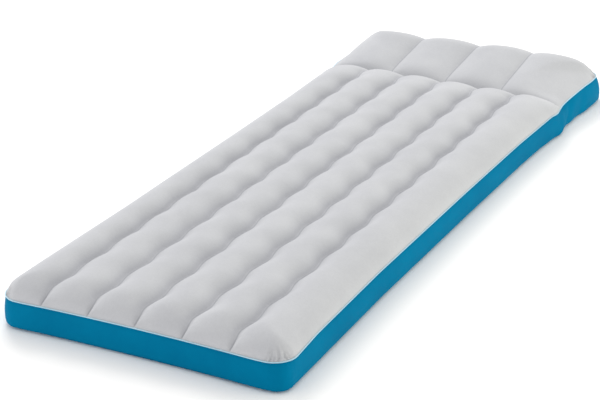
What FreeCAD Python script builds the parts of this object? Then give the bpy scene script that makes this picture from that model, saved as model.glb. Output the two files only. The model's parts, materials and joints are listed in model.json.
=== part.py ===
import FreeCAD, Part
import math
import os
from FreeCAD import Vector

# Single camping air mattress: six lengthwise wavy air tubes, a raised pillow across the head end, a side
# band all round, and a two-in-one valve in the band at the head end.
# Millimetres. The underside lies on Z = 0, +Y runs to the head end, and the origin is the underside's centre.

# ---- driving dimensions ----
length = 1840.0            # foot wall to head wall
width = 666.0              # across the side walls
body_height = 104.0        # floor to the crest of a body tube
pillow_height = 122.0      # floor to the pillow's highest crest
sheet = 0.7                # top, band and bottom vinyl, with the nap on the top one
beam_sheet = 0.5           # inner walls
band_top = 61.0            # height of the weld between the top sheet and the band
band_bottom = 4.0          # height of the weld between the band and the bottom sheet
corner_radius = 75.0       # in plan, at all four corners
body_shoulder = 60.0       # rounding from the wall up to the body's crest
pillow_shoulder = 58.0     # the same on the pillow
heel_radius = 10.0         # rounding from the wall down to the underside

# ---- tubes and their inner walls ----
seam_count = 5             # lengthwise welds in the body
outer_tube = 119.8         # outermost lengthwise weld to the side wall
seam_valley = 80.0         # height of the groove over a lengthwise weld
wave_period = 123.7
wave_swing = 4.0           # sideways, each way
wave_crest_y = 495.0       # one place where the wave is furthest to -X
wave_steps = 8             # path points in each period

pillow_length = 250.0      # head wall to the crosswise weld
cross_valley = 66.0        # height of the groove over the crosswise weld
body_run_down = 55.0       # length over which the body's crest falls to the crosswise weld
pillow_run_up = 100.0      # length over which the pillow's front would rise to its full height
pillow_seam_count = 3
pillow_outer_tube = 174.0  # outermost pillow weld to the side wall
pillow_valley = 73.0       # height of the groove over a pillow weld, where it leaves the crosswise weld
pillow_crown = 15.0        # a pillow tube's crest above its grooves
pillow_rise = 0.15         # climb of the pillow's tubes toward the head, per length

foot_air_gap = 62.0        # between the inner walls' ends and the foot wall, where air passes
cross_air_gap = 48.0       # between the inner walls' ends and the crosswise wall
side_air_gap = 42.0        # between the crosswise wall's ends and the side walls
head_air_gap = 70.0

# ---- valve, along its own axis: 0 is the band's outer face and + is outward ----
valve_x = -200.0
port_radius = 8.0          # inflation port, which a pump's nozzle goes into
port_wall = 1.2
port_inner_end = -16.0
mouth_step = 1.0           # the port's wider mouth, which the cap's stem fills
mouth_floor = 0.3
mouth_chamfer = 0.6
neck_room = 7.0            # between the port and the neck's bore, for the plug, the flap and its clip
neck_wall = 2.0
neck_inner_end = -18.0
neck_rim = 2.5
flange_margin = 5.0        # the welded flange past the neck
flange_thickness = 1.2
wall_hole_gap = 0.1
patch_thickness = 0.6
ring_groove_depth = 1.0
ring_groove_from = -7.0
ring_width = 2.0
running_gap = 0.05
plug_gap = 0.1             # plug in neck, on the radius
rest_gap = 0.3             # under a flange or a cap that lifts off
plug_overhang = 2.5        # the plug's flange past the neck's bore
plug_flange_thickness = 1.8
plug_wall = 1.5
plug_inner_end = -14.0
ear_depth = 3.0            # the flap's ear inside the plug's open end
tab_width = 12.0
tab_length = 5.5           # pull tab, past the plug's flange
lug_width = 9.0
lug_margin = 1.0           # strap lug, past the strap

flap_overlap = 1.3         # the flap past the port's bore
flap_thickness = 0.8
flap_seat_gap = 0.3
flap_hinge_margin = 1.0    # flap's edge to its hinge line
flap_tail = 0.3            # tail past its hinge line
flap_tail_width = 6.0
flap_clip_gap = 0.6        # hinge line to clip
flap_clip_width = 10.0
flap_clip_depth = 2.0
flap_clip_height = 1.9

cap_margin = 3.0           # the cap past the port's mouth
cap_thickness = 1.8
stem_gap = 0.6             # stem in mouth, on the radius
stem_wall = 1.4
stem_length = 4.0
cap_ring_gap = 0.3         # the stem's sealing ring in the mouth, on the radius
cap_ring_groove = 0.4
cap_ring_from = 1.3        # up the stem from its inner end
cap_ring_width = 1.0
cap_tab_width = 9.0
cap_tab_length = 3.5
strap_thickness = 0.8      # the cap's tongue
strap_width = 7.0
strap_length = 4.4         # cap's edge to the strap's fold
strap_hinge_gap = 0.3      # cap's tongue to the hinge line
strap_plate_gap = 0.7      # hinge line to the fixed half
strap_plate_thickness = 0.5
strap_peg_offset = 3.3     # from the fold
strap_peg_margin = 1.3     # the fixed half past the peg's axis
strap_peg_radius = 1.2
strap_head_radius = 1.5
strap_head_height = 0.6
strap_peg_tail = 0.6       # the peg past the lug's inner face

# ---- worked out ----
foot_y = -length / 2
head_y = length / 2
cross_y = head_y - pillow_length
tall = pillow_height + 100.0
deep = -50.0               # well below the floor, for cutting shapes
seam_pitch = (width - 2 * outer_tube) / (seam_count - 1)
pillow_seam_pitch = (width - 2 * pillow_outer_tube) / (pillow_seam_count - 1)
valve_z = (heel_radius + band_top) / 2
neck_bore = port_radius + neck_room
neck_outer = neck_bore + neck_wall
flange_radius = neck_outer + flange_margin
plug_radius = neck_bore - plug_gap
plug_flange_radius = neck_bore + plug_overhang
plug_seat = neck_rim + rest_gap
plug_top = plug_seat + plug_flange_thickness
flap_radius = port_radius + flap_overlap
flap_hinge = flap_radius + flap_hinge_margin
flap_face = port_inner_end - flap_seat_gap
mouth_radius = port_radius + mouth_step
cap_radius = mouth_radius + cap_margin
cap_seat = plug_top + rest_gap
stem_radius = mouth_radius - stem_gap
stem_end = cap_seat - stem_length
strap_hinge = cap_radius + strap_length
strap_peg_at = strap_hinge + strap_peg_offset
strap_reach = strap_peg_at + strap_peg_margin


def save(name, shape):
    """Write one node, in the row's frame."""
    shape = shape.removeSplitter()
    shape.exportStep(os.path.join("parts", name + ".step"))
    print(name, len(shape.Solids), round(shape.Volume, 1), shape.isValid())


def box(x0, x1, y0, y1, z0, z1):
    return Part.makeBox(x1 - x0, y1 - y0, z1 - z0, Vector(x0, y0, z0))


def prism(edges, reach):
    """Solid from a closed outline, pushed along the vector reach."""
    wire = Part.Wire(Part.__sortEdges__(edges))
    return Part.Face(wire).extrude(reach)


def polyline(points):
    return [Part.LineSegment(a, b).toShape() for a, b in zip(points, points[1:])]


def arc_height(distance, rise, radius):
    """Height above an arc's crest (so negative) at a distance from it."""
    return rise + math.sqrt(radius ** 2 - distance ** 2) - radius


def sagitta_radius(half_chord, rise):
    return (half_chord ** 2 + rise ** 2) / (2 * rise)


# ---- the envelope: the mattress's outer shape, or its inner one when inset by the sheet ----
def wave(y):
    return -wave_swing * math.cos(2 * math.pi * (y - wave_crest_y) / wave_period)


def wave_path():
    """Smooth sideways wave that runs past both ends of the body."""
    start = foot_y - 40.0
    count = int((cross_y + 40.0 - start) / wave_period * wave_steps)
    step = wave_period / wave_steps
    points = [Vector(wave(start + i * step), start + i * step, 0) for i in range(count + 1)]
    curve = Part.BSplineCurve()
    curve.interpolate(points)
    return Part.Wire([curve.toShape()]), points[0]


def swept_along_wave(edges_at):
    """Sweep an outline along the wave without turning it. edges_at places the outline at a start point."""
    path, start = wave_path()
    sweep = Part.BRepOffsetAPI.MakePipeShell(path)
    sweep.setTrihedronMode(Vector(0, 0, 0), Vector(0, 1, 0))
    sweep.add(Part.Wire(Part.__sortEdges__(edges_at(start))), False, False)
    sweep.build()
    sweep.makeSolid()
    return sweep.shape()


def seams(count, pitch):
    return [(i - (count - 1) / 2) * pitch for i in range(count)]


def tube_outline(place, count, pitch, crest, valley, inset):
    """Outline across the tubes: an arc over each, meeting in a groove at each seam, and flat past the outer
    crests, where the shoulders take over."""
    radius = sagitta_radius(pitch / 2, crest - valley) - inset
    crest = crest - inset

    def over(distance):
        return crest + arc_height(distance, 0.0, radius)

    at = seams(count, pitch)
    reach = width / 2 + 60.0
    left, right = at[0] - pitch / 2, at[-1] + pitch / 2
    edges = polyline([place(right, crest), place(reach, crest), place(reach, deep),
                      place(-reach, deep), place(-reach, crest), place(left, crest)])
    edges.append(Part.Arc(place(left, crest), place(left + pitch / 4, over(pitch / 4)),
                          place(at[0], over(pitch / 2))).toShape())
    for a, b in zip(at, at[1:]):
        edges.append(Part.Arc(place(a, over(pitch / 2)), place((a + b) / 2, crest),
                              place(b, over(pitch / 2))).toShape())
    edges.append(Part.Arc(place(at[-1], over(pitch / 2)), place(right - pitch / 4, over(pitch / 4)),
                          place(right, crest)).toShape())
    return edges


def slab(y0, y1, rounded_end, height, shoulder, inset):
    """Slab with two rounded corners at one end, a rounded top edge and a rounded bottom edge on its three
    outer walls, and a square face at the other end."""
    half = width / 2 - inset
    block = box(-half, half, y0, y1, inset, height - inset)
    corners = [e for e in block.Edges
               if e.BoundBox.ZLength > height / 2 and abs(e.BoundBox.YMin - rounded_end) < 1.0]
    block = block.makeFillet(corner_radius - inset, corners)
    square_end = y1 if abs(y0 - rounded_end) < 1.0 else y0

    def rim(z):
        return [e for e in block.Edges
                if e.BoundBox.ZLength < 0.1 and abs(e.BoundBox.ZMin - z) < 0.1
                and not (abs(e.BoundBox.YMin - square_end) < 0.1 and abs(e.BoundBox.YMax - square_end) < 0.1)]

    block = block.makeFillet(shoulder - inset, rim(height - inset))
    return block.makeFillet(heel_radius - inset, rim(inset))


def slope(crest, away, run, inset):
    """Prism under a crest that falls in one arc to the crosswise weld. away is -1 for the body and 1 for the
    pillow, the side of the weld that it lies on."""
    radius = sagitta_radius(run, crest - cross_valley)
    centre = Vector(0, cross_y + away * run, crest - radius)
    radius = radius - inset
    far = cross_y + away * length
    drop = math.sqrt(radius ** 2 - run ** 2)
    half_angle = math.asin(run / radius) / 2
    top = Vector(0, centre.y, centre.z + radius)
    middle = Vector(0, centre.y - away * radius * math.sin(half_angle),
                    centre.z + radius * math.cos(half_angle))
    foot = Vector(0, cross_y, centre.z + drop)
    edges = [Part.Arc(top, middle, foot).toShape()]
    edges += polyline([foot, Vector(0, cross_y, deep), Vector(0, far, deep),
                       Vector(0, far, top.z), top])
    solid = prism(edges, Vector(width * 2, 0, 0))
    solid.translate(Vector(-width, 0, 0))
    return solid


def body_shape(inset):
    shape = slab(foot_y + inset, cross_y, foot_y + inset, body_height, body_shoulder, inset)
    shape = shape.common(slope(body_height, -1, body_run_down, inset))

    def outline(start):
        def place(x, z):
            return Vector(start.x + x, start.y, z)
        return tube_outline(place, seam_count, seam_pitch, body_height, seam_valley, inset)

    return shape.common(swept_along_wave(outline))


def pillow_shape(inset):
    shape = slab(cross_y, head_y - inset, head_y - inset, pillow_height, pillow_shoulder, inset)
    shape = shape.common(slope(pillow_height, 1, pillow_run_up, inset))

    def place(x, z):
        return Vector(x, cross_y, z)

    outline = tube_outline(place, pillow_seam_count, pillow_seam_pitch,
                           pillow_valley + pillow_crown, pillow_valley, inset)
    return shape.common(prism(outline, Vector(0, pillow_length, pillow_length * pillow_rise)))


def envelope(inset):
    return body_shape(inset).fuse(pillow_shape(inset))


# ---- outer sheets ----
def between(shape, z0, z1):
    return shape.common(box(-width, width, -length, length, z0, z1))


def outer_sheets(skin):
    save("top_sheet", between(skin, band_top, tall))
    band = between(skin, band_bottom, band_top)
    save("side_band", band.cut(at_valve(rod(neck_outer + wall_hole_gap, -neck_bore, neck_bore))))
    save("bottom_sheet", between(skin, deep, band_bottom))


# ---- inner walls ----
def wavy_wall(x, y0, y1, inside):
    def outline(start):
        left, right = start.x + x - beam_sheet / 2, start.x + x + beam_sheet / 2
        corners = [(left, deep), (right, deep), (right, tall), (left, tall), (left, deep)]
        return polyline([Vector(a, start.y, z) for a, z in corners])
    return swept_along_wave(outline).common(inside).common(box(-width, width, y0, y1, deep, tall))


def inner_walls(inside):
    for i, x in enumerate(seams(seam_count, seam_pitch)):
        wall = wavy_wall(x, foot_y + foot_air_gap, cross_y - cross_air_gap, inside)
        save("beam_%d" % (i + 1), wall)
    half = beam_sheet / 2
    reach = width / 2 - side_air_gap
    wall = box(-reach, reach, cross_y - half, cross_y + half, deep, tall)
    save("cross_beam", wall.common(inside))
    for i, x in enumerate(seams(pillow_seam_count, pillow_seam_pitch)):
        wall = box(x - half, x + half, cross_y + cross_air_gap, head_y - head_air_gap, deep, tall)
        save("pillow_beam_%d" % (i + 1), wall.common(inside))


# ---- valve pieces: made along +Z, then laid along +Y at the valve's place ----
def rod(radius, a, b):
    return Part.makeCylinder(radius, b - a, Vector(0, 0, a))


def ring(outer, inner, a, b):
    return rod(outer, a, b).cut(rod(inner, a - 1.0, b + 1.0))


def at_valve(shape):
    placed = shape.copy()
    placed.rotate(Vector(0, 0, 0), Vector(1, 0, 0), -90)
    placed.translate(Vector(valve_x, head_y, valve_z))
    return placed


def valve_patch():
    """Reinforcing ring welded inside the band round the hole."""
    return ring(flange_radius, neck_outer + wall_hole_gap, -sheet - patch_thickness, -sheet)


def valve_base():
    """Welded flange with a neck through the wall, and a groove in its bore for the sealing ring."""
    shape = rod(flange_radius, 0, flange_thickness).fuse(rod(neck_outer, neck_inner_end, neck_rim))
    shape = shape.cut(rod(neck_bore, neck_inner_end - 1, neck_rim + 1))
    return shape.cut(rod(neck_bore + ring_groove_depth, ring_groove_from, ring_groove_from + ring_width))


def base_seal():
    return ring(neck_bore + ring_groove_depth, neck_bore - running_gap,
                ring_groove_from, ring_groove_from + ring_width)


def deflation_plug():
    """Push-in plug with the inflation port through it, a pull tab, a strap lug and an ear for the flap."""
    shape = rod(plug_flange_radius, plug_seat, plug_top)
    shape = shape.fuse(ring(plug_radius, plug_radius - plug_wall, plug_inner_end, plug_seat))
    shape = shape.fuse(rod(mouth_radius + port_wall, port_inner_end, plug_seat))
    shape = shape.fuse(box(-plug_flange_radius - tab_length, 0, -tab_width / 2, tab_width / 2,
                           plug_seat, plug_top))
    shape = shape.fuse(box(0, strap_reach + lug_margin, -lug_width / 2, lug_width / 2,
                           plug_seat, plug_top))
    ear_half = flap_clip_width / 2
    ear_outer = flap_hinge + flap_clip_gap + flap_clip_depth
    shape = shape.fuse(box(-ear_half, ear_half, -ear_outer, -port_radius, port_inner_end, plug_inner_end))
    brace = box(-ear_half, ear_half, -plug_radius, -port_radius, plug_inner_end, plug_inner_end + ear_depth)
    shape = shape.fuse(brace.common(rod(plug_radius, plug_inner_end, plug_seat)))
    shape = shape.cut(rod(port_radius, port_inner_end - 1, plug_top + 1))
    shape = shape.cut(rod(mouth_radius, mouth_floor, plug_top + 1))
    shape = shape.cut(Part.makeCone(mouth_radius, mouth_radius + 2 * mouth_chamfer, 2 * mouth_chamfer,
                                    Vector(0, 0, plug_top - mouth_chamfer)))
    peg_hole = rod(strap_peg_radius + running_gap, plug_seat - 1, plug_top + 1)
    peg_hole.translate(Vector(strap_peg_at, 0, 0))
    return shape.cut(peg_hole)


def check_flap():
    """Soft disc that seals the port's inner end and swings inward about a line above it."""
    half = flap_tail_width / 2
    tail = box(-half, half, -flap_hinge - flap_tail, 0, flap_face - flap_thickness, flap_face)
    return rod(flap_radius, flap_face - flap_thickness, flap_face).fuse(tail)


def flap_clip():
    """Bar that holds the flap's root on the plug."""
    half = flap_clip_width / 2
    inner = flap_hinge + flap_clip_gap
    return box(-half, half, -inner - flap_clip_depth, -inner,
               port_inner_end - flap_clip_height, port_inner_end)


def stem_groove(outer):
    """The sealing ring's place round the stem, out to a radius."""
    low = stem_end + cap_ring_from
    return ring(outer, stem_radius - cap_ring_groove, low, low + cap_ring_width)


def inflation_cap():
    """Flip cap: a disc with a hollow stem, a finger tab and a tongue that ends at the strap's fold."""
    top = cap_seat + cap_thickness
    shape = rod(cap_radius, cap_seat, top)
    shape = shape.fuse(box(-cap_radius - cap_tab_length, 0, -cap_tab_width / 2, cap_tab_width / 2,
                           cap_seat, top))
    shape = shape.fuse(box(0, strap_hinge - strap_hinge_gap, -strap_width / 2, strap_width / 2,
                           cap_seat, cap_seat + strap_thickness))
    shape = shape.fuse(rod(stem_radius, stem_end, cap_seat))
    shape = shape.cut(rod(stem_radius - stem_wall, stem_end - 1, cap_seat))
    return shape.cut(stem_groove(mouth_radius))


def cap_seal():
    return stem_groove(mouth_radius - cap_ring_gap)


def cap_strap():
    """Fixed half of the cap's strap, with a headed peg through the plug's lug."""
    plate_top = plug_top + strap_plate_thickness
    shape = box(strap_hinge + strap_plate_gap, strap_reach, -strap_width / 2, strap_width / 2,
                plug_top, plate_top)
    head = rod(strap_head_radius, plate_top, plate_top + strap_head_height)
    peg = rod(strap_peg_radius, plug_seat - strap_peg_tail, plug_top)
    for piece in (head, peg):
        piece.translate(Vector(strap_peg_at, 0, 0))
        shape = shape.fuse(piece)
    return shape


def valve():
    for piece in (valve_patch, valve_base, base_seal, deflation_plug, check_flap, flap_clip,
                  inflation_cap, cap_seal, cap_strap):
        save(piece.__name__, at_valve(piece()))


os.makedirs("parts", exist_ok=True)
outside = envelope(0.0)
inside = envelope(sheet)
outer_sheets(outside.cut(inside))
inner_walls(inside)
valve()
print("cap hinge", valve_x + strap_hinge, head_y + cap_seat + strap_thickness / 2, valve_z)
print("flap hinge", head_y + flap_face - flap_thickness / 2, valve_z + flap_hinge)
print("port wall", head_y + port_inner_end, head_y + mouth_floor)
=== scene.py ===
"""Camping air mattress: blown-up flocked top, blue side band, valve, floor, light and camera. Metres."""
import json
import math

import bpy
import numpy as np
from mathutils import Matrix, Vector

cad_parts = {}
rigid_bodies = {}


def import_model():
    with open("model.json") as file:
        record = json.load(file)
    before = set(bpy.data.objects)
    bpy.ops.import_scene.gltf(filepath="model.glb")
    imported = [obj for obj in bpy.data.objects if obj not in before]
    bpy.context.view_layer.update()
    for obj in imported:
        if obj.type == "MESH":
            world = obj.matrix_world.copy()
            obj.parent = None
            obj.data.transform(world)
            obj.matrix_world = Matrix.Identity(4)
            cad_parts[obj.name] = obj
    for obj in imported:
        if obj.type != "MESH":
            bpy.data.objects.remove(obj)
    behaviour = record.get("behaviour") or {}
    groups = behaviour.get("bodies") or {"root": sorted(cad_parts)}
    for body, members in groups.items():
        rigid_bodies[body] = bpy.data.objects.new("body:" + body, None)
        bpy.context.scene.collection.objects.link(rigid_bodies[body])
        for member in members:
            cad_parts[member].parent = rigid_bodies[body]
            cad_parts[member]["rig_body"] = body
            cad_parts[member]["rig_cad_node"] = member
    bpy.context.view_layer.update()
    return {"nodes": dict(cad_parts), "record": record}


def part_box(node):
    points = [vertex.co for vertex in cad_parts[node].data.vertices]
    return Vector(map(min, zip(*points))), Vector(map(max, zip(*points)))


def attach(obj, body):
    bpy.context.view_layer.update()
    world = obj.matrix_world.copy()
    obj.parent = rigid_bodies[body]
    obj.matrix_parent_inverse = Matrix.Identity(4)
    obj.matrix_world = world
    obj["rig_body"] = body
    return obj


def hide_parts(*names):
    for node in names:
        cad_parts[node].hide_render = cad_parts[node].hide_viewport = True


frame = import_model()
bpy.ops.object.select_all(action="DESELECT")

# ---- sizes taken from the frame ----
BAND_LOW, BAND_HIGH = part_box("side_band")
HALF = BAND_HIGH.x
FOOT, HEAD = BAND_LOW.y, BAND_HIGH.y
EDGE = BAND_HIGH.z
SEAMS = [(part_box("beam_%d" % i)[0].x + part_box("beam_%d" % i)[1].x) / 2 for i in range(1, 6)]
PILLOW_SEAMS = [(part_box("pillow_beam_%d" % i)[0].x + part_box("pillow_beam_%d" % i)[1].x) / 2
                for i in range(1, 4)]
CROSS = (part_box("cross_beam")[0].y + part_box("cross_beam")[1].y) / 2
OVER_CROSS_BEAM = 0.001    # the weld lines lie this far over the tops of the inner walls
OVER_BEAM = 0.0018
CROSS_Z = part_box("cross_beam")[1].z + OVER_CROSS_BEAM
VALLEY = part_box("beam_3")[1].z + OVER_BEAM
PORT = [m for m in frame["record"]["mounts"] if m["name"] == "inflation_port"][0]

# ---- shape of the blown-up sheets ----
CREST = 0.104              # top of a body tube
WAVE_PERIOD = 0.1237       # length of one wave of the body's welds
WAVE_SWING = 0.0042        # how far the welds swing to each side
WAVE_CREST = 0.495         # a place where the wave is furthest to -X
WAVE_FADE = 0.06           # length at the foot over which the wave comes up
CORNER = 0.050             # plan radius of the corners
SHOULDER = 0.082           # width over which the top rolls down to the edge weld
PILLOW_SHOULDER = 0.140    # the same along the pillow's sides
CROSS_SHOULDER = 0.030     # what is added to it beside the crosswise weld
RUN_DOWN = 0.058           # length over which the body rolls down to the crosswise weld
NEAR_CROSS = 0.52          # share of their height that the body's tubes keep beside that weld
TUBES_RISE = 0.15          # length over which they come up to their full height
WELD = 0.0022              # half the width of a weld line
LIP_AT = 0.0062            # how far from a weld its small lip lies, where it runs out at the foot
LIP_HEIGHT = 0.0028
FOOT_DIP = 0.0050          # how far the welds dip there
FOOT_REACH = 0.028         # how far the dip and its lips reach from the foot
CELL = 0.009               # spacing of the sheets' mesh before it is refined
CORNER_CELL = 0.0063       # the same near the rim, where the pleats are
PILLOW_CROWN = 0.013       # a pillow tube over its grooves
PILLOW_STEP = 0.0055       # the pillow's quick rise beside the crosswise weld
PILLOW_SLOPE = 0.228       # its climb to the head after that
PILLOW_LEVELS = 0.19       # how far past the weld the climb begins to level out
PILLOW_DROOP = 0.75        # how quickly it levels out
SHEET = 0.0007             # thickness of a sheet
BELLY = 0.008              # how far the foot's and the head's walls swell past the edge weld
CORNER_SWELL = 0.036       # more swell in the foot's +X corner
HEEL = 0.0085              # radius where the band turns under
HEEL_TURN = math.radians(75)
HEEL_FROM = 0.80           # share of the band's height that the wall takes
FLOOR_WELD = 0.0028        # height of the weld between band and underside
TUCK = 0.0022              # how far the band is drawn in just under the edge weld
CREASE = 0.006             # depth of the crease that runs down the side from the crosswise weld
HEAD_SKEW = 0.018          # the head wall stands this far out at its +X end, and in at its -X end
PILLOW_LEAN = 0.015        # how far the pillow's head end leans to +X
CROSS_SKEW = 0.010         # pull of the crosswise weld to the foot at mid width: none at -X, double at +X
FOOT_BOW = 0.004           # how far the foot's wall stands in at its corners
MIDDLE_BOW = 0.007         # and how much further at mid width
UNDER_BOW = 0.7            # share of that bow which the underside doesn't follow
FURTHEST = 0.004           # how far blowing up may carry a point
FRAMES = 20                # steps of the blowing up
BAND_STOPS = (0.018, 0.045, 0.085, 0.16, 0.28, 0.41, 0.54, 0.67, 0.80, 0.86, 0.93, 1.0)
TOP, BAND, UNDER = range(3)


def soft_step(t):
    t = np.clip(t, 0.0, 1.0)
    return t * t * (3 - 2 * t)


def dome(t, power=0.56):
    """0 at the weld, 1 from t = 1 on, rolling over like a blown-up edge."""
    t = np.clip(t, 0.0, 1.0)
    return (1 - (1 - t) ** 2) ** power


def wave(y):
    """Sideways place of the body's welds. It dies away at the foot, where they run out straight."""
    fade = soft_step((y - FOOT) / WAVE_FADE)
    return -WAVE_SWING * fade * np.cos(2 * np.pi * (y - WAVE_CREST) / WAVE_PERIOD)


def drawn(stops, softness):
    """A line along the mattress through (y, value) stops, with its turns rounded off over a length."""
    step = 0.002
    places = np.arange(FOOT - 0.1, HEAD + 0.1, step)
    window = np.hanning(2 * int(softness / step) + 3)
    values = np.interp(places, *zip(*stops))
    values = np.convolve(np.pad(values, len(window) // 2, "edge"), window / window.sum(), "valid")
    return lambda y: np.interp(y, places, values)


# The long sides draw in at mid length, swell ahead of the crosswise weld, pinch at it and flare to the head.
rim_line = drawn([(FOOT, 0.003), (FOOT + 0.06, 0.0), (FOOT + 0.15, -0.006), (-0.47, -0.012), (0, -0.010),
                  (0.35, -0.006), (CROSS - 0.10, 0.002), (CROSS - 0.07, 0.005), (CROSS - 0.035, 0.002),
                  (CROSS, -0.003), (CROSS + 0.022, -0.005), (CROSS + 0.05, -0.002), (CROSS + 0.10, 0.005),
                  (CROSS + 0.14, 0.009), (CROSS + 0.17, 0.013), (HEAD, 0.013)], 0.016)
# How much further in the -X side's outline runs than the +X side's.
left_line = drawn([(FOOT, 0.020), (FOOT + 0.06, 0.016), (FOOT + 0.15, 0.011), (-0.30, 0.010), (0.1, 0.011),
                   (CROSS - 0.12, 0.011), (CROSS - 0.02, 0.0), (CROSS + 0.02, -0.010), (CROSS + 0.05, -0.009),
                   (CROSS + 0.09, 0.0), (HEAD, 0.0)], 0.012)
# How far the sides of the band swell past the plan.
belly_line = drawn([(FOOT, 0.004), (FOOT + 0.15, 0.002), (-0.47, -0.003), (0, -0.001), (0.35, 0.003),
                    (CROSS - 0.196, 0.007), (CROSS - 0.098, 0.015), (CROSS - 0.069, 0.022),
                    (CROSS - 0.05, 0.018), (CROSS, 0.013), (CROSS + 0.076, 0.014),
                    (CROSS + 0.105, 0.021), (CROSS + 0.141, 0.025), (HEAD, 0.026)], 0.008)
# How far the edge weld rises or dips.
edge_lift = drawn([(FOOT, 0), (CROSS - 0.098, 0), (CROSS - 0.07, -0.002), (CROSS - 0.035, -0.006),
                   (CROSS, -0.006), (CROSS + 0.022, -0.004), (CROSS + 0.05, 0), (CROSS + 0.10, 0.005),
                   (CROSS + 0.14, 0.007), (HEAD, 0.008)], 0.012)


def spaced(stops):
    """Lines through every (place, step to the next) stop, evenly spaced between them."""
    lines = []
    for (a, step), (b, _) in zip(stops, stops[1:]):
        count = max(1, round((b - a) / step))
        lines += [a + (b - a) * i / count for i in range(count)]
    return np.array(lines + [stops[-1][0]])


def mesh_lines():
    """Where the mesh's lines run, across and along, before the corners are rounded."""
    inner = HALF - CORNER
    across = [(-HALF, CORNER_CELL), (-inner, CELL), (inner, CORNER_CELL), (HALF, CELL)]
    welds = set([round(x, 5) for x in SEAMS] + [round(PILLOW_SEAMS[0], 5), round(PILLOW_SEAMS[2], 5)])
    for x in welds:
        across += [(x - LIP_AT, CELL), (x - WELD, WELD), (x, WELD), (x + WELD, CELL), (x + LIP_AT, CELL)]
    along = [(FOOT, CORNER_CELL), (FOOT + CORNER, CELL), (CROSS - WELD, WELD), (CROSS, WELD),
             (CROSS + WELD, CELL), (HEAD - CORNER, CORNER_CELL), (HEAD, CELL)]
    return spaced(sorted(across)), spaced(along)


def round_corners(x, y):
    """Carry a square grid onto the rounded plan: each corner's square goes to a quarter disc."""
    cx = HALF - CORNER
    for end, way in ((FOOT + CORNER, -1.0), (HEAD - CORNER, 1.0)):
        a = np.clip((np.abs(x) - cx) / CORNER, 0, 1)
        b = np.clip((y - end) * way / CORNER, 0, 1)
        inside = (a > 0) & (b > 0)
        r = np.maximum(a, b)
        small = np.minimum(a, b) / np.where(r > 0, r, 1.0)
        angle = np.where(a >= b, small, 2 - small) * math.pi / 4
        x = np.where(inside, np.sign(x) * (cx + CORNER * r * np.cos(angle)), x)
        y = np.where(inside, end + way * CORNER * r * np.sin(angle), y)
    return x, y


def inset(x, y):
    """Distance in from the plan's outline."""
    qx = np.abs(x) - (HALF - CORNER)
    qy = np.abs(y - (FOOT + HEAD) / 2) - ((HEAD - FOOT) / 2 - CORNER)
    out = np.hypot(np.maximum(qx, 0), np.maximum(qy, 0)) + np.minimum(np.maximum(qx, qy), 0)
    return np.maximum(CORNER - out, 0)


def tube(u, seams, crown):
    """Height over the grooves of a row of tubes whose welds are at seams."""
    half = (seams[1] - seams[0]) / 2
    radius = (half ** 2 + crown ** 2) / (2 * crown)
    nearest = np.min([np.abs(u - s) for s in seams], axis=0)
    nearest = np.maximum(nearest - WELD, 0) * half / (half - WELD)
    off = np.clip(half - nearest, 0, half)
    return np.sqrt(radius ** 2 - off ** 2) - (radius - crown)


def pillow_tube(u):
    """Height over the pillow's grooves: flat crowns that turn down sharply to their welds, 0 to 1."""
    half = PILLOW_SEAMS[1] - PILLOW_SEAMS[0]
    nearest = np.min([np.abs(u - s) for s in PILLOW_SEAMS], axis=0)
    t = np.clip((nearest - WELD) / (half / 2), 0, 1)
    return (1 - (1 - t) ** 2.3) ** 0.9


def rolled_edge(x, y, d):
    """Share of the full height near the edge weld. The top rolls down most gently at the pillow's sides.
    The pillow is fuller on the -X side."""
    to_side, to_head = HALF - np.abs(x), HEAD - y
    side = soft_step((to_head - to_side) / 0.10 + 0.5) * soft_step((y - CROSS + 0.01) / 0.05)
    width = SHOULDER + (PILLOW_SHOULDER + 0.024 * x / HALF - SHOULDER) * side
    width = width + CROSS_SHOULDER * np.exp(-((y - CROSS) / 0.06) ** 2)
    head = soft_step((y - CROSS) / 0.05)
    power = 0.64 + (0.18 + 0.16 * x / HALF) * side - 0.07 * head * (1 - side)
    return dome(d / width, power)


def top_height(u, y, d):
    """Height of the top sheet at a place across the tubes, along the mattress and in from the edge."""
    edge = rolled_edge(u, y, d)
    short = CROSS - WELD - y
    crown = tube(u, SEAMS, CREST - VALLEY) * (NEAR_CROSS + (1 - NEAR_CROSS) * soft_step(short / TUBES_RISE))
    body = (CROSS_Z - EDGE) + dome(short / RUN_DOWN, 0.5) * ((VALLEY - CROSS_Z) + crown)
    ahead = np.maximum(y - CROSS - WELD, 0)
    climb = PILLOW_STEP * dome(ahead / 0.030) + PILLOW_SLOPE * ahead
    climb = climb - PILLOW_DROOP * np.maximum(ahead - PILLOW_LEVELS, 0) ** 2
    climb = climb * (1 - 0.25 * soft_step((u - 0.14) / 0.19))
    crown = PILLOW_CROWN * dome(ahead / 0.055, 0.7)
    pillow = (CROSS_Z - EDGE) + climb + pillow_tube(u) * crown
    low = EDGE + edge_lift(y)
    from_weld = np.min([np.abs(u - s) for s in SEAMS], axis=0)
    pinch = np.exp(-((y - FOOT) / FOOT_REACH) ** 2) * soft_step(d / 0.004)
    lip = LIP_HEIGHT * np.exp(-((from_weld - LIP_AT) / 0.003) ** 2)
    lip = lip - FOOT_DIP * np.exp(-from_weld / 0.0018)
    at_cross = edge + (dome(d / 0.034, 0.6) - edge) * np.exp(-((y - CROSS) / 0.03) ** 2)
    rise = np.where(y < CROSS, body, pillow) - (CROSS_Z - EDGE)
    return low + at_cross * (CROSS_Z - low) + edge * rise + pinch * lip


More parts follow.
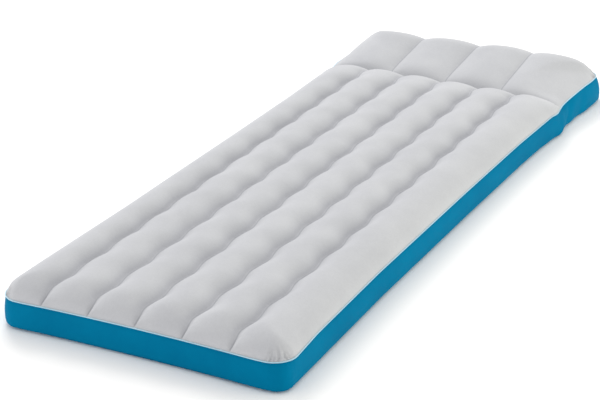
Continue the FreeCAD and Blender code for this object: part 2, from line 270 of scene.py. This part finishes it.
def plan_place(x, y, inner):
    """Final plan place of a point of the rounded plan. inner is 0 on the top sheet and 1 on the underside."""
    outer = SEAMS[-1]
    share = np.clip((np.abs(x) - outer) / (HALF - outer), 0, 1)
    placed = x + np.sign(x) * share * rim_line(y)
    placed = placed + (x < 0) * share * left_line(y)
    placed = placed + PILLOW_LEAN * (1 - np.clip(x / HALF, 0, 1)) * soft_step((y - CROSS) / 0.24)
    middle = 1 - np.clip(np.abs(x) / 0.26, 0, 1) ** 2
    bow = (FOOT_BOW + MIDDLE_BOW * middle) * (1 - inner * UNDER_BOW)
    foot = bow * (1 - soft_step((y - FOOT) / 0.12))
    head = HEAD_SKEW * x / HALF * soft_step((y - HEAD + 0.22) / 0.22)
    weld = CROSS_SKEW * (1 + x / HALF) * np.exp(-((y - CROSS) / 0.07) ** 2)
    return placed, y + foot + head - weld


def valve_share(x, y, z, near=0.0235, far=0.040):
    """1 on the flat patch round the valve, 0 away from it."""
    away = np.sqrt((x - PORT["pos_m"][0]) ** 2 + (z - PORT["pos_m"][2]) ** 2)
    return (1 - soft_step((away - near) / (far - near))) * (y > HEAD - 0.05)


def band_point(x, y, nx, ny, t):
    """Point on the side band, from the edge weld (t = 0) down to the floor weld (t = 1)."""
    top = EDGE + edge_lift(y)
    side = nx ** 2
    swell = side * (belly_line(y - 0.045 * (1 - t)) - rim_line(y)) + (1 - side) * BELLY
    swell = swell + CORNER_SWELL * side * (1 - side) * (y < 0) * (x > 0)
    turn = np.clip((t - HEEL_FROM) / (1 - HEEL_FROM), 0, 1) * HEEL_TURN
    wall = min(t / HEEL_FROM, 1.0)
    heel_z = FLOOR_WELD + HEEL * math.sin(HEEL_TURN)
    z = top + (heel_z - top) * wall - HEEL * np.sin(turn)
    out = swell * (1 - (1 - min(wall / 0.75, 1.0)) ** 2) - HEEL * (1 - np.cos(turn))
    out = out - TUCK * math.exp(-((t - 0.048) / 0.022) ** 2)
    line = CROSS + 0.040 - 0.075 * t
    crease = (y - line) / np.where(y < line, 0.009, 0.016)
    out = out - side * CREASE * np.exp(-crease ** 2) * math.sin(math.pi * min(wall, 1.0)) ** 0.8
    px, py = x + nx * out, y + ny * out
    flat = valve_share(px, py, z)
    return px, py * (1 - flat) + HEAD * flat, z


def around(x, y):
    """Place along the outline: a corner's angle times its radius, or the length along a side."""
    cx = np.sign(x) * (HALF - CORNER)
    cy = np.where(y > 0, HEAD - CORNER, FOOT + CORNER)
    in_corner = (np.abs(x) > HALF - CORNER) & (np.abs(y - (FOOT + HEAD) / 2) > (HEAD - FOOT) / 2 - CORNER)
    angle = np.arctan2(y - cy, x - cx)
    return np.where(in_corner, angle * CORNER, np.where(np.abs(x) > np.abs(y) * HALF / HEAD, y, x))


def corner_share(x, y):
    """1 in the middle of each corner's turn, 0 on the straight sides."""
    a = np.clip((np.abs(x) - HALF + CORNER) / CORNER, 0, 1)
    b = np.clip((np.abs(y - (FOOT + HEAD) / 2) - (HEAD - FOOT) / 2 + CORNER) / CORNER, 0, 1)
    return soft_step(np.minimum(a, b) / 0.28)


def ripple(s, length, shift):
    """Uneven ripple along a line, about 0 to 1."""
    a = np.sin(2 * np.pi * s / length + 1.9 * np.sin(2 * np.pi * s / (length * 3.3) + shift))
    b = np.sin(2 * np.pi * s / (length * 0.63) + shift * 2.7)
    return np.clip(0.5 + 0.34 * a + 0.2 * b, 0, 1)


def edge_loop(ni, nj):
    """Grid places (i, j) round the rim, anticlockwise from above."""
    loop = [(i, 0) for i in range(ni)] + [(ni - 1, j) for j in range(1, nj)]
    loop += [(i, nj - 1) for i in range(ni - 2, -1, -1)] + [(0, j) for j in range(nj - 2, 0, -1)]
    return loop


def outline_normals(x, y):
    """Outward plan normals of a closed loop."""
    dx = np.roll(x, -1) - np.roll(x, 1)
    dy = np.roll(y, -1) - np.roll(y, 1)
    size = np.hypot(dx, dy)
    return dy / size, -dx / size


def weld_distances(u, v, y, d):
    """Distance of each point of the top from the nearest lengthwise weld and from the crosswise one."""
    body = (y < CROSS + WELD * 1.5) & (y > FOOT + 0.005)
    pillow = (y > CROSS - WELD * 1.5) & (y < HEAD - 0.012)
    lengthwise = np.min([np.where(body, np.abs(u - s), 1.0) for s in SEAMS]
                        + [np.where(pillow, np.abs(u - s), 1.0) for s in PILLOW_SEAMS], axis=0)
    return lengthwise, np.where(d > 0.010, np.abs(v - CROSS), 1.0)


def envelope():
    """The whole blown-up shape as one closed mesh: its points and faces, which sheet each face is of, where
    each point lies among the welds, which points the welds hold, and the points of the rim in order."""
    across, along = mesh_lines()
    ni, nj = len(across), len(along)
    u, v = np.meshgrid(across, along, indexing="ij")
    sx, sy = round_corners(u, v)
    d = inset(sx, sy)
    fade = 1 - soft_step((np.abs(sx) - SEAMS[-1]) / (HALF - SEAMS[-1] - 0.02))
    wavy = wave(sy) * fade * (1 - soft_step((sy - CROSS + 0.02) / 0.02))
    z = top_height(sx, sy, d)
    x, y = plan_place(sx + wavy, sy, 0.0)
    points = [np.stack([x, y, z], -1).reshape(-1, 3)]

    def index(i, j):
        return i * nj + j

    faces, kinds = [], []
    for i in range(ni - 1):
        for j in range(nj - 1):
            faces.append((index(i, j), index(i + 1, j), index(i + 1, j + 1), index(i, j + 1)))
            kinds.append(TOP)

    rim = edge_loop(ni, nj)
    rim_index = np.array([index(i, j) for i, j in rim])
    rx, ry = x.reshape(-1)[rim_index], y.reshape(-1)[rim_index]
    nx, ny = outline_normals(rx, ry)
    count = len(rim)
    previous = rim_index
    start_of_band = start = ni * nj
    for t in BAND_STOPS:
        px, py, pz = band_point(rx, ry, nx, ny, t)
        points.append(np.stack([px, py, pz], -1))
        current = start + np.arange(count)
        start += count
        for k in range(count):
            n = (k + 1) % count
            faces.append((previous[k], current[k], current[n], previous[n]))
            kinds.append(BAND)
        previous = current

    under_of = {}
    for k, place in enumerate(rim):
        under_of[place] = previous[k]
    inner = [(i, j) for i in range(1, ni - 1) for j in range(1, nj - 1)]
    ii = np.array([i for i, _ in inner])
    jj = np.array([j for _, j in inner])
    bx, by = plan_place(sx[ii, jj], sy[ii, jj], 1.0)
    points.append(np.stack([bx, by, np.zeros(len(bx))], -1))
    for k, place in enumerate(inner):
        under_of[place] = start + k
    for i in range(ni - 1):
        for j in range(nj - 1):
            corners = [(i, j), (i, j + 1), (i + 1, j + 1), (i + 1, j)]
            faces.append(tuple(under_of[c] for c in corners))
            kinds.append(UNDER)

    points = np.concatenate(points)
    lengthwise, crosswise = weld_distances(u, v, sy, d)
    nearest = np.minimum(lengthwise, crosswise)
    marks = {"weld": np.zeros(len(points)), "inset": np.zeros(len(points)),
             "from_weld": np.ones(len(points)), "along": np.zeros(len(points)),
             "rim": around(points[:, 0], points[:, 1])}
    marks["weld"][:start_of_band] = (nearest < WELD * 0.5).reshape(-1)
    marks["inset"][:start_of_band] = d.reshape(-1)
    marks["from_weld"][:start_of_band] = np.minimum(nearest, 0.1).reshape(-1)
    marks["along"][:start_of_band] = np.where(lengthwise < crosswise, sy, sx).reshape(-1)
    held = np.zeros(len(points), bool)
    held[:start_of_band] = (nearest < WELD * 1.1).reshape(-1)
    held[rim_index] = True
    held[points[:, 2] < 0.012] = True
    held[np.array(list(under_of.values()))] = True
    px, py, pz = points.T
    held |= valve_share(px, py, pz) > 0.3
    return points, faces, np.array(kinds), marks, held, rim_index


# ---- meshes ----
def new_mesh(name, points, faces, edges=()):
    mesh = bpy.data.meshes.new(name)
    mesh.from_pydata([tuple(p) for p in points], edges, [tuple(int(i) for i in f) for f in faces])
    mesh.update()
    piece = bpy.data.objects.new(name, mesh)
    bpy.context.scene.collection.objects.link(piece)
    return piece


def coordinates(piece):
    flat = np.empty(len(piece.data.vertices) * 3)
    piece.data.vertices.foreach_get("co", flat)
    return flat.reshape(-1, 3)


def pick(piece):
    """Select one piece alone and make it the active one."""
    bpy.ops.object.select_all(action="DESELECT")
    piece.select_set(True)
    bpy.context.view_layer.objects.active = piece


def apply_modifiers(piece):
    pick(piece)
    for modifier in list(piece.modifiers):
        bpy.ops.object.modifier_apply(modifier=modifier.name)
    piece.select_set(False)


def evened(move, faces, held, rounds=12):
    """Share each point's move with its neighbours, so that no small buckles stay between the welds."""
    corners = np.array(faces)
    pairs = np.stack([corners, np.roll(corners, -1, axis=1)], -1).reshape(-1, 2)
    count = np.bincount(pairs.ravel(), minlength=len(move))[:, None]
    for _ in range(rounds):
        total = np.zeros_like(move)
        np.add.at(total, pairs[:, 0], move[pairs[:, 1]])
        np.add.at(total, pairs[:, 1], move[pairs[:, 0]])
        move = np.where(held[:, None], 0.0, 0.5 * move + 0.5 * total / count)
    return move


def blow_up(points, faces, held):
    """Let the sheets settle under air pressure with every weld held, and give back the settled points."""
    trial = new_mesh("blowing_up", points, faces)
    pins = trial.vertex_groups.new(name="welds")
    pins.add([int(i) for i in np.nonzero(held)[0]], 1.0, "REPLACE")
    cloth = trial.modifiers.new("Cloth", "CLOTH")
    settings = cloth.settings
    settings.quality = 5
    settings.mass = 0.4
    settings.tension_stiffness = 25
    settings.compression_stiffness = 25
    settings.shear_stiffness = 10
    settings.bending_stiffness = 4.0
    settings.use_pressure = True
    settings.uniform_pressure_force = 3.0
    settings.vertex_group_mass = "welds"
    settings.effector_weights.gravity = 0
    cloth.collision_settings.use_collision = False
    cloth.point_cache.frame_end = FRAMES
    scene = bpy.context.scene
    for number in range(1, FRAMES + 1):
        scene.frame_set(number)
    shown = trial.evaluated_get(bpy.context.evaluated_depsgraph_get())
    settled = np.array([v.co for v in shown.data.vertices])
    scene.frame_set(1)
    bpy.data.objects.remove(trial)
    move = settled - points
    size = np.linalg.norm(move, axis=1, keepdims=True)
    move *= np.minimum(1.0, FURTHEST / np.maximum(size, 1e-9))
    move = evened(move, faces, held)
    print("blown up: furthest move before the cap %.4f m" % size.max())
    return points + move


# Rows of pleats in the top: how deep they are, how far they reach, how long one is and where they begin.
WELD_PLEATS = (0.0007, 0.011, 0.019, 0.7)
RIM_PLEATS = (0.0005, 0.012, 0.023, 1.9)
CORNER_PLEATS = (0.0085, 0.011, 0.0105, 3.1)


def pleat_row(row, away, along, share=1.0):
    """Depth of a row of pleats at a distance from its line and a place along it."""
    depth, reach, length, shift = row
    return depth * share * np.exp(-away / reach) * ripple(along, length, shift)


def pleats(kind, place, mark):
    """How deep the small pleats are drawn in: along the welds and the rim and, deepest, at the corners."""
    x, y, z = place.T
    corner = corner_share(x, y)
    if kind == TOP:
        clear = soft_step(mark["inset"] / 0.002)
        at_weld = pleat_row(WELD_PLEATS, mark["from_weld"], mark["along"])
        at_rim = pleat_row(RIM_PLEATS, mark["inset"], mark["rim"])
        turn = pleat_row(CORNER_PLEATS, mark["inset"], mark["rim"], corner)
        return clear * (at_weld * soft_step(mark["from_weld"] / 0.003) + at_rim + turn)
    if kind == BAND:
        down = np.clip((EDGE - z) / EDGE, 0, 1)
        clear = soft_step(down / 0.06) * soft_step((1 - down) / 0.10)
        clear = clear * (1 - valve_share(x, y, z, 0.030, 0.055))
        near_top = np.exp(-down / 0.22) + 0.8 * np.exp(-(1 - down) / 0.20)
        return clear * near_top * (0.0003 + 0.0009 * corner) * ripple(mark["rim"], 0.0145, 2.2)
    return np.zeros(len(place))


def sheet_piece(name, kind, points, faces, marks):
    """One sheet of the envelope, refined, pleated at its welds and given its thickness inward."""
    used = np.unique(np.array(faces))
    place = {int(k): n for n, k in enumerate(used)}
    piece = new_mesh(name, points[used], [[place[int(i)] for i in f] for f in faces])
    for mark, values in marks.items():
        piece.data.attributes.new(mark, "FLOAT", "POINT").data.foreach_set(
            "value", values[used].astype(np.float32))
    refine = piece.modifiers.new("Refine", "SUBSURF")
    refine.levels = refine.render_levels = 1
    apply_modifiers(piece)
    mark = {}
    for label in marks:
        mark[label] = np.empty(len(piece.data.vertices))
        piece.data.attributes[label].data.foreach_get("value", mark[label])
    normals = np.array([v.normal for v in piece.data.vertices])
    now = coordinates(piece)
    now -= normals * pleats(kind, now, mark)[:, None]
    piece.data.vertices.foreach_set("co", now.reshape(-1))
    for label in marks:
        if label != "weld":
            piece.data.attributes.remove(piece.data.attributes[label])
    wall = piece.modifiers.new("Wall", "SOLIDIFY")
    wall.thickness = SHEET
    wall.offset = -1.0
    wall.use_rim = True
    apply_modifiers(piece)
    piece.data.polygons.foreach_set("use_smooth", [True] * len(piece.data.polygons))
    return piece


def weld_bead(name, points, loop, radius, drop):
    """Narrow welded lip that runs round the outline along a loop of the envelope's points."""
    line = points[loop]
    nx, ny = outline_normals(line[:, 0], line[:, 1])
    line = line + np.stack([nx, ny, np.zeros(len(nx))], -1) * radius * 0.25
    line[:, 2] -= drop
    piece = new_mesh(name, line, [], [(i, (i + 1) % len(loop)) for i in range(len(loop))])
    pick(piece)
    bpy.ops.object.convert(target="CURVE")
    piece = bpy.context.object
    piece.data.bevel_depth = radius
    piece.data.bevel_resolution = 2
    bpy.ops.object.convert(target="MESH")
    piece = bpy.context.object
    bpy.ops.object.shade_smooth()
    piece.select_set(False)
    return piece


# ---- materials ----
def material(name, colour, roughness):
    """A new material with its shader, for the finish's own nodes to be added to."""
    made = bpy.data.materials.new(name)
    made.use_nodes = True
    shader = made.node_tree.nodes["Principled BSDF"]
    shader.inputs["Base Color"].default_value = (*colour, 1)
    shader.inputs["Roughness"].default_value = roughness
    return made, made.node_tree.nodes, made.node_tree.links, shader


def noise(nodes, links, vector, scale, detail=3.0, roughness=0.5):
    node = nodes.new("ShaderNodeTexNoise")
    node.inputs["Scale"].default_value = scale
    node.inputs["Detail"].default_value = detail
    node.inputs["Roughness"].default_value = roughness
    links.new(vector, node.inputs["Vector"])
    return node.outputs["Fac"]


def ramp(nodes, links, value, low, high):
    """Colours between low and high, by a value from 0.35 to 0.65."""
    node = nodes.new("ShaderNodeValToRGB")
    node.color_ramp.elements[0].position = 0.35
    node.color_ramp.elements[1].position = 0.65
    node.color_ramp.elements[0].color = (*low, 1)
    node.color_ramp.elements[1].color = (*high, 1)
    links.new(value, node.inputs["Fac"])
    return node.outputs["Color"]


def bump(nodes, links, height, strength, distance, before=None):
    node = nodes.new("ShaderNodeBump")
    node.inputs["Strength"].default_value = strength
    node.inputs["Distance"].default_value = distance
    links.new(height, node.inputs["Height"])
    if before is not None:
        links.new(before, node.inputs["Normal"])
    return node.outputs["Normal"]


def multiply(nodes, links, first, second):
    node = nodes.new("ShaderNodeMix")
    node.data_type = "RGBA"
    node.blend_type = "MULTIPLY"
    node.inputs["Factor"].default_value = 1.0
    links.new(first, node.inputs["A"])
    links.new(second, node.inputs["B"])
    return node.outputs["Result"]


def uneven_shine(nodes, links, value, shader, low, high):
    """Roughness from low to high, by a pattern."""
    shine = nodes.new("ShaderNodeMapRange")
    shine.inputs["To Min"].default_value = low
    shine.inputs["To Max"].default_value = high
    links.new(value, shine.inputs["Value"])
    links.new(shine.outputs["Result"], shader.inputs["Roughness"])


def object_place(nodes):
    return nodes.new("ShaderNodeTexCoord").outputs["Object"]


def flocked():
    """Short grey nap: matte, brushed a little lighter and darker, pressed flat and darker on the welds."""
    made, nodes, links, shader = material("flocked_top", (0.60, 0.61, 0.63), 0.95)
    place = object_place(nodes)
    brushed = noise(nodes, links, place, 9.0, 4.0, 0.6)
    tone = ramp(nodes, links, brushed, (0.500, 0.505, 0.528), (0.537, 0.542, 0.563))
    fibres = noise(nodes, links, place, 900.0, 2.0, 0.7)
    tone = multiply(nodes, links, tone, ramp(nodes, links, fibres, (0.93, 0.93, 0.93), (1.0, 1.0, 1.0)))
    tufts = noise(nodes, links, place, 190.0, 3.0, 0.6)
    tone = multiply(nodes, links, tone, ramp(nodes, links, tufts, (0.965, 0.965, 0.965), (1.0, 1.0, 1.0)))
    weld = nodes.new("ShaderNodeAttribute")
    weld.attribute_name = "weld"
    pressed = nodes.new("ShaderNodeMix")
    pressed.data_type = "RGBA"
    links.new(weld.outputs["Fac"], pressed.inputs["Factor"])
    links.new(tone, pressed.inputs["A"])
    pressed.inputs["B"].default_value = (0.34, 0.35, 0.37, 1)
    links.new(pressed.outputs["Result"], shader.inputs["Base Color"])
    shader.inputs["Sheen Weight"].default_value = 0.12
    shader.inputs["Sheen Roughness"].default_value = 0.6
    shader.inputs["Specular IOR Level"].default_value = 0.10
    fine = bump(nodes, links, fibres, 0.35, 0.0004)
    links.new(bump(nodes, links, tufts, 0.14, 0.0012, fine), shader.inputs["Normal"])
    return made


def vinyl(name, low, high, roughness, specular):
    """Satin vinyl film with a fine pressed grain, a little cloudy, and lighter where it is rubbed."""
    made, nodes, links, shader = material(name, high, roughness)
    place = object_place(nodes)
    cloudy = noise(nodes, links, place, 7.0, 3.0, 0.6)
    scuffs = noise(nodes, links, place, 75.0, 5.0, 0.75)
    tone = ramp(nodes, links, cloudy, low, high)
    links.new(multiply(nodes, links, tone, ramp(nodes, links, scuffs, (0.965, 0.965, 0.965), (1, 1, 1))),
              shader.inputs["Base Color"])
    uneven_shine(nodes, links, scuffs, shader, roughness - 0.06, roughness + 0.10)
    grain = nodes.new("ShaderNodeTexVoronoi")
    grain.feature = "DISTANCE_TO_EDGE"
    grain.inputs["Scale"].default_value = 700.0
    links.new(place, grain.inputs["Vector"])
    fine = bump(nodes, links, grain.outputs["Distance"], 0.22, 0.0003)
    soft = bump(nodes, links, noise(nodes, links, place, 60.0), 0.10, 0.002, fine)
    links.new(soft, shader.inputs["Normal"])
    shader.inputs["Specular IOR Level"].default_value = specular
    return made


def moulded(name, low, high, roughness):
    """Moulded plastic: faint flow marks, fine spark-eroded texture."""
    made, nodes, links, shader = material(name, high, roughness)
    place = object_place(nodes)
    links.new(ramp(nodes, links, noise(nodes, links, place, 90.0, 4.0, 0.6), low, high),
              shader.inputs["Base Color"])
    texture = noise(nodes, links, place, 2600.0, 2.0, 0.6)
    flow = noise(nodes, links, place, 160.0, 2.0, 0.5)
    links.new(bump(nodes, links, flow, 0.08, 0.0006, bump(nodes, links, texture, 0.20, 0.0001)),
              shader.inputs["Normal"])
    uneven_shine(nodes, links, flow, shader, roughness - 0.05, roughness + 0.07)
    return made


def soft_rubber():
    """Soft seal: matte, slightly dusty."""
    made, nodes, links, shader = material("soft_seal", (0.70, 0.71, 0.73), 0.75)
    place = object_place(nodes)
    links.new(ramp(nodes, links, noise(nodes, links, place, 220.0, 4.0, 0.7), (0.62, 0.63, 0.65),
                   (0.74, 0.75, 0.77)), shader.inputs["Base Color"])
    links.new(bump(nodes, links, noise(nodes, links, place, 1500.0), 0.15, 0.0001), shader.inputs["Normal"])
    shader.inputs["Specular IOR Level"].default_value = 0.3
    return made


def paint(piece, made):
    piece.data.materials.clear()
    piece.data.materials.append(made)


def set_out(piece, body, slot, finish, *nodes):
    """Give a new piece its finish and body, and hide the nodes that it stands for. The slot is not used."""
    paint(piece, finish)
    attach(piece, body)
    if nodes:
        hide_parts(*nodes)
    return piece


# ---- valve ----
VALVE_X, WALL_Y, VALVE_Z = PORT["pos_m"]
OUTWARD = (-math.pi / 2, 0, 0)         # turns a primitive's own +Z to the valve's outward axis
NECK = 0.017                           # outer radius of the valve's neck
NECK_GAP = 0.0001                      # the band's hole past the neck, on the radius
CUT = 0.015                            # how far the hole's cutter reaches to each side of the band
FLANGE = 0.0012                        # thickness of the welded flange
BAR_WIDTH, BAR_HEIGHT = 0.0008, 0.0009
BAR_STEP = 0.0016                      # from one grip bar to the next


def settle(piece):
    """Put a piece's place into its mesh."""
    pick(piece)
    bpy.ops.object.transform_apply(location=True, rotation=True, scale=True)


def start_cylinder(radius, low, high, sides=96):
    """Cylinder on the valve's axis, from low to high past the band's outer face."""
    bpy.ops.mesh.primitive_cylinder_add(vertices=sides, radius=radius, depth=high - low, rotation=OUTWARD,
                                        location=(VALVE_X, WALL_Y + (low + high) / 2, VALVE_Z))
    settle(bpy.context.object)
    return bpy.context.object


def ease(piece, width, segments=2):
    """Round a piece's sharp edges."""
    edge = piece.modifiers.new("Edges", "BEVEL")
    edge.width = width
    edge.segments = segments
    edge.limit_method = "ANGLE"
    edge.angle_limit = math.radians(40)
    apply_modifiers(piece)


def cut_valve_hole(band):
    """The hole in the side band that the valve's neck goes through."""
    cutter = start_cylinder(NECK + NECK_GAP, -CUT, CUT)
    hole = band.modifiers.new("Hole", "BOOLEAN")
    hole.operation = "DIFFERENCE"
    hole.solver = "EXACT"
    hole.object = cutter
    apply_modifiers(band)
    bpy.data.objects.remove(cutter)


def eased_copy(node, name, width):
    """A node's own shape with its moulded edges rounded."""
    piece = frame["nodes"][node].copy()
    piece.data = frame["nodes"][node].data.copy()
    piece.name = name
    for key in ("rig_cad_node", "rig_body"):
        if key in piece:
            del piece[key]
    piece.parent = None
    bpy.context.scene.collection.objects.link(piece)
    pick(piece)
    bpy.ops.object.mode_set(mode="EDIT")
    bpy.ops.mesh.select_all(action="SELECT")
    bpy.ops.mesh.remove_doubles(threshold=0.00001)
    bpy.ops.mesh.dissolve_limited(angle_limit=math.radians(2))
    bpy.ops.object.mode_set(mode="OBJECT")
    ease(piece, width)
    return piece


def join(pieces, name):
    bpy.ops.object.select_all(action="DESELECT")
    for piece in pieces:
        piece.select_set(True)
    bpy.context.view_layer.objects.active = pieces[0]
    if len(pieces) > 1:
        bpy.ops.object.join()
    piece = bpy.context.object
    piece.name = name
    bpy.ops.object.shade_smooth_by_angle(angle=math.radians(35))
    piece.select_set(False)
    return piece


def grip_bar(x, y, length):
    """Raised bar across a tab."""
    bpy.ops.mesh.primitive_cube_add(size=1, location=(x, y, VALVE_Z))
    bar = bpy.context.object
    bar.scale = (BAR_WIDTH, BAR_HEIGHT, length)
    settle(bar)
    ease(bar, 0.0003)
    return bar


def raised_ring(radius, y, thickness):
    bpy.ops.mesh.primitive_torus_add(major_radius=radius, minor_radius=thickness, major_segments=96,
                                     minor_segments=10, rotation=OUTWARD, location=(VALVE_X, y, VALVE_Z))
    settle(bpy.context.object)
    return bpy.context.object


def eased_valve_pieces():
    """Valve pieces with rounded edges, grip bars on the tabs and a raised ring on the flange and the cap."""
    flange_top = WALL_Y + FLANGE
    plug_low, plug_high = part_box("deflation_plug")
    cap_low, cap_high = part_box("inflation_cap")
    bars = [grip_bar(plug_low.x + 0.0012 + BAR_STEP * i, plug_high.y, 0.008) for i in range(3)]
    cap_bars = [grip_bar(cap_low.x + 0.0011 + BAR_STEP * i, cap_high.y, 0.006) for i in range(2)]
    made = [("valve_base", "mattress", 0.0003, [raised_ring(NECK + 0.0032, flange_top, 0.0004)]),
            ("deflation_plug", "plug", 0.00025, bars),
            ("inflation_cap", "cap", 0.0003, cap_bars + [raised_ring(0.0088, cap_high.y, 0.00035)]),
            ("cap_strap", "plug", 0.00012, [])]
    for node, body, width, extras in made:
        piece = join([eased_copy(node, node, width)] + extras, node + "_eased")
        set_out(piece, body, "valve_plastic", PLASTIC, node)


# ---- the envelope's pieces ----
points, faces, kinds, marks, held, rim = envelope()
faces = np.array(faces)
points = blow_up(points, faces, held)

FLOCK = flocked()
BLUE = vinyl("blue_vinyl", (0.0, 0.150, 0.292), (0.0, 0.171, 0.322), 0.50, 0.012)
LIP = vinyl("weld_lip", (0.40, 0.60, 0.70), (0.46, 0.66, 0.76), 0.42, 0.2)
FILM = vinyl("beam_vinyl", (0.50, 0.53, 0.57), (0.58, 0.61, 0.65), 0.45, 0.4)
PLASTIC = moulded("valve_plastic", (0.035, 0.045, 0.055), (0.050, 0.060, 0.070), 0.38)
RUBBER = soft_rubber()
SHEETS = [("top_sheet", "flocked_top", FLOCK), ("side_band", "blue_vinyl", BLUE),
          ("bottom_sheet", "blue_vinyl", BLUE)]

sheets = {}
for kind, (node, _, _) in zip((TOP, BAND, UNDER), SHEETS):
    sheets[node] = sheet_piece(node + "_blown_up", kind, points, faces[kinds == kind], marks)
cut_valve_hole(sheets["side_band"])
for node, slot, finish in SHEETS:
    set_out(sheets[node], "mattress", slot, finish, node)
set_out(weld_bead("edge_weld", points, rim, 0.0013, 0.0003), "mattress", "flocked_top", LIP)

for node in ["beam_%d" % i for i in range(1, 6)] + ["pillow_beam_%d" % i for i in range(1, 4)]:
    paint(frame["nodes"][node], FILM)
for node, finish in [("cross_beam", FILM), ("valve_patch", BLUE), ("base_seal", RUBBER),
                     ("check_flap", RUBBER), ("flap_clip", PLASTIC), ("cap_seal", RUBBER)]:
    paint(frame["nodes"][node], finish)

eased_valve_pieces()


# ---- floor, light and camera ----
FLOOR_SIZE, FLOOR_GAP = 40, 0.0005     # the floor lies just under the underside
CAMERA_PLACE = (1.640, -3.456, 1.615)
CAMERA_AIM = (0.025, -0.242, 0.080)
LENS, SENSOR = 105.1, 36.0             # millimetres


def floor():
    bpy.ops.mesh.primitive_plane_add(size=FLOOR_SIZE, location=(0, 0, -FLOOR_GAP))
    plane = bpy.context.object
    plane.name = "floor"
    paint(plane, material("floor_white", (0.98, 0.97, 0.96), 0.9)[0])


def soft_light(name, place, target, size, power, tint=(1, 1, 1)):
    lamp = bpy.data.lights.new(name, "AREA")
    lamp.shape = "RECTANGLE"
    lamp.size, lamp.size_y = size
    lamp.energy = power
    lamp.color = tint
    holder = bpy.data.objects.new(name, lamp)
    bpy.context.scene.collection.objects.link(holder)
    holder.location = place
    holder.rotation_euler = (Vector(target) - Vector(place)).to_track_quat("-Z", "Y").to_euler()


def camera():
    lens = bpy.data.cameras.new("camera")
    lens.lens = LENS
    lens.sensor_width = SENSOR
    holder = bpy.data.objects.new("camera", lens)
    bpy.context.scene.collection.objects.link(holder)
    holder.location = CAMERA_PLACE
    aim = Vector(CAMERA_AIM) - holder.location
    holder.rotation_euler = aim.to_track_quat("-Z", "Y").to_euler()
    bpy.context.scene.camera = holder


def daylight():
    world = bpy.data.worlds.new("daylight")
    world.use_nodes = True
    background = world.node_tree.nodes["Background"]
    background.inputs["Color"].default_value = (1, 1, 1, 1)
    background.inputs["Strength"].default_value = 0.90
    bpy.context.scene.world = world


floor()
soft_light("window", (-4.9, 6.0, 4.9), (0, 0, 0), (4.5, 4.5), 520)
soft_light("side_glow", (3.2, 0.6, 0.7), (0.3, -0.1, 0.05), (2.0, 1.0), 34, (1, 1, 0.84))
soft_light("foot_glow", (-2.4, -3.0, 0.35), (-0.3, -0.9, 0.03), (1.2, 0.5), 16)
daylight()
camera()
bpy.context.scene.view_settings.view_transform = "Standard"
